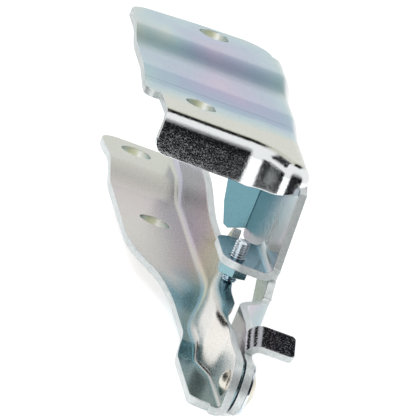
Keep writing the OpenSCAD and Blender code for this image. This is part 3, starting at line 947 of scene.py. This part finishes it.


# Tints of the body bracket, from the eye to the far end; the dark teal of the narrow foot is the plating's
# blue tint darkened by painted shade under the bonnet bracket
FOOT_TINTS_AND_PAINTED_SHADE = [(0.0, (0.18, 0.31, 0.28)), (0.2, (0.13, 0.29, 0.34)), (0.43, (0.13, 0.29, 0.35)),
              (0.52, (0.46, 0.45, 0.41)), (0.62, (0.54, 0.52, 0.47)), (0.76, (0.52, 0.48, 0.47)),
              (0.9, (0.52, 0.54, 0.47))]
WALL_TINTS = [(0.0, (0.72, 0.69, 0.65)), (0.22, (0.64, 0.61, 0.57)), (0.38, (0.50, 0.55, 0.40)),
              (0.52, (0.58, 0.50, 0.38)), (0.66, (0.46, 0.38, 0.48)), (0.85, (0.44, 0.44, 0.54))]
BODY_DRIFT = (-0.02, 0.02)
UPRIGHT_FACING = (0.45, 0.85)


def body_zinc():
    """Plating of the body bracket: warm grey plate, oil colours on the wall, and teal on the narrow foot,
    darkened by painted shade under the bonnet bracket.
    """
    coat = plated("body_zinc", rough=(0.22, 0.30), bump=0.05)
    tree = coat.tree
    place, way = surface_place(tree)
    drift = span(tree, coat.film["Cloud"], *NOISE_RANGE, *BODY_DRIFT)
    run = span(tree, reckon(tree, "ADD", place["X"], drift), along(-EYE_R), along(BODY_END))
    foot = ramp_on(tree, run, FOOT_TINTS_AND_PAINTED_SHADE)
    wall = ramp_on(tree, run, WALL_TINTS)
    upright = span(tree, reckon(tree, "ABSOLUTE", way["Y"], 0.0), *UPRIGHT_FACING)
    link(tree, mixed(tree, upright, foot, wall), coat.shader.inputs["Base Color"])
    return coat.material


# Cut edges, and the walls of the bolt holes from their outer to their inner side: yellowish in the middle,
# with painted shade at both ends and a painted highlight
EDGE_METAL = 0.65
EDGE_TINTS = [(0.35, (0.62, 0.66, 0.66)), (0.65, (0.76, 0.79, 0.78))]
HOLE_WALL_TINTS_AND_PAINTED_LIGHT = [(0.0, (0.36, 0.46, 0.46)), (0.16, (0.70, 0.74, 0.66)), (0.30, (0.98, 0.98, 0.92)),
              (0.42, (0.74, 0.74, 0.56)), (0.62, (0.62, 0.64, 0.44)), (0.84, (0.48, 0.56, 0.52)),
              (1.0, (0.22, 0.32, 0.33))]
HOLE_REACH = ((HOLE_R + 1) * MM, (HOLE_R + 0.5) * MM)


def sheared_edge():
    """Cut edge of the sheet: duller and paler, with fine shear marks, and yellowish in the bolt holes, where
    a painted highlight and painted shade run across each hole wall.
    """
    coat = plated("sheared_edge", rough=(0.38, 0.55), bump=0.2)
    tree = coat.tree
    coat.shader.inputs["Metallic"].default_value = EDGE_METAL
    tint = ramp_on(tree, coat.film["Streak"], EDGE_TINTS)
    place = add_node(tree, "ShaderNodeTexCoord")
    level = add_node(tree, "ShaderNodeVectorMath", operation="MULTIPLY")
    level.inputs[1].default_value = (1, 1, 0)
    axes = add_node(tree, "ShaderNodeSeparateXYZ")
    link(tree, place.outputs["Object"], level.inputs[0])
    link(tree, level.outputs["Vector"], axes.inputs["Vector"])
    for x, y in BODY_HOLES + BONNET_HOLES:
        away = add_node(tree, "ShaderNodeVectorMath", operation="DISTANCE")
        away.inputs[1].default_value = (along(x), beside(y), 0)
        link(tree, level.outputs["Vector"], away.inputs[0])
        inside = span(tree, away.outputs["Value"], *HOLE_REACH)
        # Across each hole wall: painted shade at both ends, a painted highlight, and a yellowish tint
        # between.
        side = span(tree, axes.outputs["Y"], beside(y - HOLE_R), beside(y + HOLE_R))
        tint = mixed(tree, inside, tint, ramp_on(tree, side, HOLE_WALL_TINTS_AND_PAINTED_LIGHT))
    link(tree, tint, coat.shader.inputs["Base Color"])
    return coat.material


def fastener_zinc(name, tints, rough):
    """Finish of the small turned pieces, in two tints that drift."""
    coat = plated(name, rough, bump=0.08)
    tint = ramp_on(coat.tree, coat.film["Cloud"], [(0.35, tints[0]), (0.65, tints[1])])
    link(coat.tree, tint, coat.shader.inputs["Base Color"])
    return coat.material


# Studio, in metres
VIEW_WIDTH = 163.5 * MM
VIEW_CENTRE = Vector((0.24, -17.60, 15.50)) * MM
VIEW_RIGHT = Vector((-0.0887, -0.9238, 0.3704)).normalized()
VIEW_FORWARD = Vector((0.957, -0.181, -0.221)).normalized()
VIEW_DISTANCE = 7.0
SENSOR = 36
FLOOR_SIZE = (12, 12)
FLOOR_GAP = 0.2 * MM

# Lamps: name, place, size and power
LAMPS = [("key", (-0.2, 0.5, 0.8), (0.7, 0.7), 7),
         ("side", (-0.5, -0.6, 0.5), (0.5, 0.5), 3)]

# Cloths: the height from which each fades to white, and over what height
GRADED_FADE = (0.12, 0.18)
BLACK_FADE = (4.0, 1.0)
CLOTH_TINTS = [(0.0, (0.010, 0.011, 0.013)), (1.0, (1, 1, 1))]


def make_camera():
    """Long lens along the hinge, a little above it, rolled to the left as in the photograph."""
    data = bpy.data.cameras.new("photo_camera")
    data.sensor_width = SENSOR
    data.lens = SENSOR * VIEW_DISTANCE / VIEW_WIDTH
    data.clip_start = 0.01
    data.clip_end = 100
    camera = bpy.data.objects.new("photo_camera", data)
    bpy.context.scene.collection.objects.link(camera)
    up = VIEW_RIGHT.cross(VIEW_FORWARD).normalized()
    right = VIEW_FORWARD.cross(up)
    turn = Matrix((right, up, -VIEW_FORWARD)).transposed().to_4x4()
    camera.matrix_world = Matrix.Translation(VIEW_CENTRE - VIEW_DISTANCE * VIEW_FORWARD) @ turn
    bpy.context.scene.camera = camera


def make_world():
    """White surroundings for the camera and the metal, and a softer fill for the floor."""
    world = bpy.data.worlds.new("studio")
    bpy.context.scene.world = world
    world.use_nodes = True
    tree = world.node_tree
    tree.nodes.clear()
    backdrop = add_node(tree, "ShaderNodeBackground", Color=(1, 1, 1, 1), Strength=1.0)
    fill = add_node(tree, "ShaderNodeBackground", Color=(0.93, 0.96, 1, 1), Strength=0.5)
    mix = add_node(tree, "ShaderNodeMixShader")
    out = add_node(tree, "ShaderNodeOutputWorld")
    link(tree, seen_rays(tree), mix.inputs["Fac"])
    link(tree, fill.outputs["Background"], mix.inputs[1])
    link(tree, backdrop.outputs["Background"], mix.inputs[2])
    link(tree, mix.outputs["Shader"], out.inputs["Surface"])


def make_light(name, place, size, power):
    """Soft lamp turned to the origin, which the metal doesn't mirror."""
    data = bpy.data.lights.new(name, "AREA")
    data.shape = "RECTANGLE"
    data.size, data.size_y = size
    data.energy = power
    lamp = bpy.data.objects.new(name, data)
    bpy.context.scene.collection.objects.link(lamp)
    lamp.location = place
    lamp.rotation_euler = (-Vector(place)).to_track_quat("-Z", "Y").to_euler()
    lamp.visible_glossy = False


def stage_sheet(name, place, facing_to, size, material):
    """A flat studio sheet of the given size, turned to look at a point."""
    turn = (Vector(facing_to) - Vector(place)).to_track_quat("Z", "Y").to_matrix().to_4x4()
    scale = Matrix.Diagonal((size[0], size[1], 1, 1))
    matrix = Matrix.Translation(place) @ turn @ scale
    bm = bmesh.new()
    bmesh.ops.create_grid(bm, x_segments=1, y_segments=1, size=0.5, matrix=matrix)
    mesh = bpy.data.meshes.new(name)
    bm.to_mesh(mesh)
    bm.free()
    mesh.materials.append(material)
    sheet = bpy.data.objects.new(name, mesh)
    bpy.context.scene.collection.objects.link(sheet)
    return sheet


def make_floor():
    """Pale floor that reads white where it is lit and keeps a soft shadow."""
    material, tree = bare_material("floor_paper")
    paper = add_node(tree, "ShaderNodeBsdfDiffuse", Color=(0.62, 0.62, 0.62, 1))
    glow = add_node(tree, "ShaderNodeEmission", Color=(1, 1, 1, 1), Strength=0.62)
    both = add_node(tree, "ShaderNodeAddShader")
    mix = add_node(tree, "ShaderNodeMixShader")
    out = add_node(tree, "ShaderNodeOutputMaterial")
    link(tree, paper.outputs["BSDF"], both.inputs[0])
    link(tree, glow.outputs["Emission"], both.inputs[1])
    link(tree, seen_rays(tree), mix.inputs["Fac"])
    link(tree, paper.outputs["BSDF"], mix.inputs[1])
    link(tree, both.outputs["Shader"], mix.inputs[2])
    link(tree, mix.outputs["Shader"], out.inputs["Surface"])
    ground = cad_box[0][2] - FLOOR_GAP
    stage_sheet("floor", (0, 0, ground), (0, 0, 1), FLOOR_SIZE, material)


def flag_cloth(name, low, fade):
    """Black cloth that fades to white from a height on, over the height of the fade."""
    material, tree = bare_material(name)
    place = add_node(tree, "ShaderNodeTexCoord")
    height = add_node(tree, "ShaderNodeSeparateXYZ")
    link(tree, place.outputs["Object"], height.inputs["Vector"])
    rise = span(tree, height.outputs["Z"], low, low + fade)
    cloth = add_node(tree, "ShaderNodeEmission", Strength=1.0)
    link(tree, ramp_on(tree, rise, CLOTH_TINTS), cloth.inputs["Color"])
    out = add_node(tree, "ShaderNodeOutputMaterial")
    link(tree, cloth.outputs["Emission"], out.inputs["Surface"])
    return material


def make_flags():
    """Cards that only the metal sees, for the black bands on the flange, its S-bend and its roll."""
    graded = flag_cloth("graded_flag", *GRADED_FADE)
    black = flag_cloth("black_flag", *BLACK_FADE)
    cards = [("front_flag", (-0.29, -0.155, 0.146), (0, -0.155, 0.146), (0.41, 0.308), graded),
             ("back_flag", (0.41, -0.22, 1.21), (-0.11, 0, 0.07), (0.7, 0.76), black),
             ("bend_flag", (0.354, 0.47, 0.62), (-0.12, 0, 0.06), (0.75, 0.26), black),
             ("side_flag", (0.005, 0.19, 0.05), (0.005, 0, 0.05), (0.41, 0.115), black)]
    for card in cards:
        sheet = stage_sheet(*card)
        sheet.visible_camera = False
        sheet.visible_diffuse = False
        sheet.visible_shadow = False


make_camera()
make_world()
make_floor()
make_flags()
for lamp in LAMPS:
    make_light(*lamp)
bpy.context.scene.view_settings.view_transform = "Standard"

bright = fastener_zinc("bright_zinc", ((0.62, 0.74, 0.84), (0.74, 0.80, 0.84)), rough=(0.14, 0.26))
rivet_steel = fastener_zinc("rivet_zinc", ((0.58, 0.62, 0.64), (0.66, 0.62, 0.52)), rough=(0.2, 0.34))
# Teal for the weld nut under the screw tab and the inner washer between the arms: the plating's blue tint,
# darkened as painted shade.
teal = fastener_zinc("teal_zinc_painted_shade", ((0.20, 0.36, 0.40), (0.30, 0.44, 0.47)), rough=(0.2, 0.32))
bronze = fastener_zinc("bush_bronze", ((0.52, 0.34, 0.14), (0.60, 0.42, 0.20)), rough=(0.3, 0.42))
cut_edge = sheared_edge()

bonnet = make_piece("bonnet_pressing", bonnet_bracket(), [bonnet_zinc(), cut_edge], "bonnet", "zinc_sheet",
                    "bonnet_bracket")
body = make_piece("body_pressing", body_bracket(), [body_zinc(), cut_edge], "body", "zinc_sheet",
                  "body_bracket")
make_piece("rivet", pivot_rivet(), [rivet_steel], "body", "zinc_fastener", "pivot_rivet")
make_piece("inner_washer", washer(ARM_OUT - WASHER_T), [teal], "body", "zinc_fastener", "thrust_washer")
make_piece("outer_washer", washer(HEAD_SEAT), [bright], "body", "zinc_fastener", "head_washer")
make_piece("bush", pivot_bush(), [bronze], "bonnet", "bush_bronze", "pivot_bush")
make_piece("height_screw", adjuster_screw(), [bright], "bonnet", "zinc_fastener", "adjuster_screw")
nut = make_piece("weld_nut", adjuster_nut(), [teal, teal], "bonnet", "zinc_fastener", "adjuster_nut")
thicken(bonnet)
thicken(body)
thicken(nut, NUT_H)
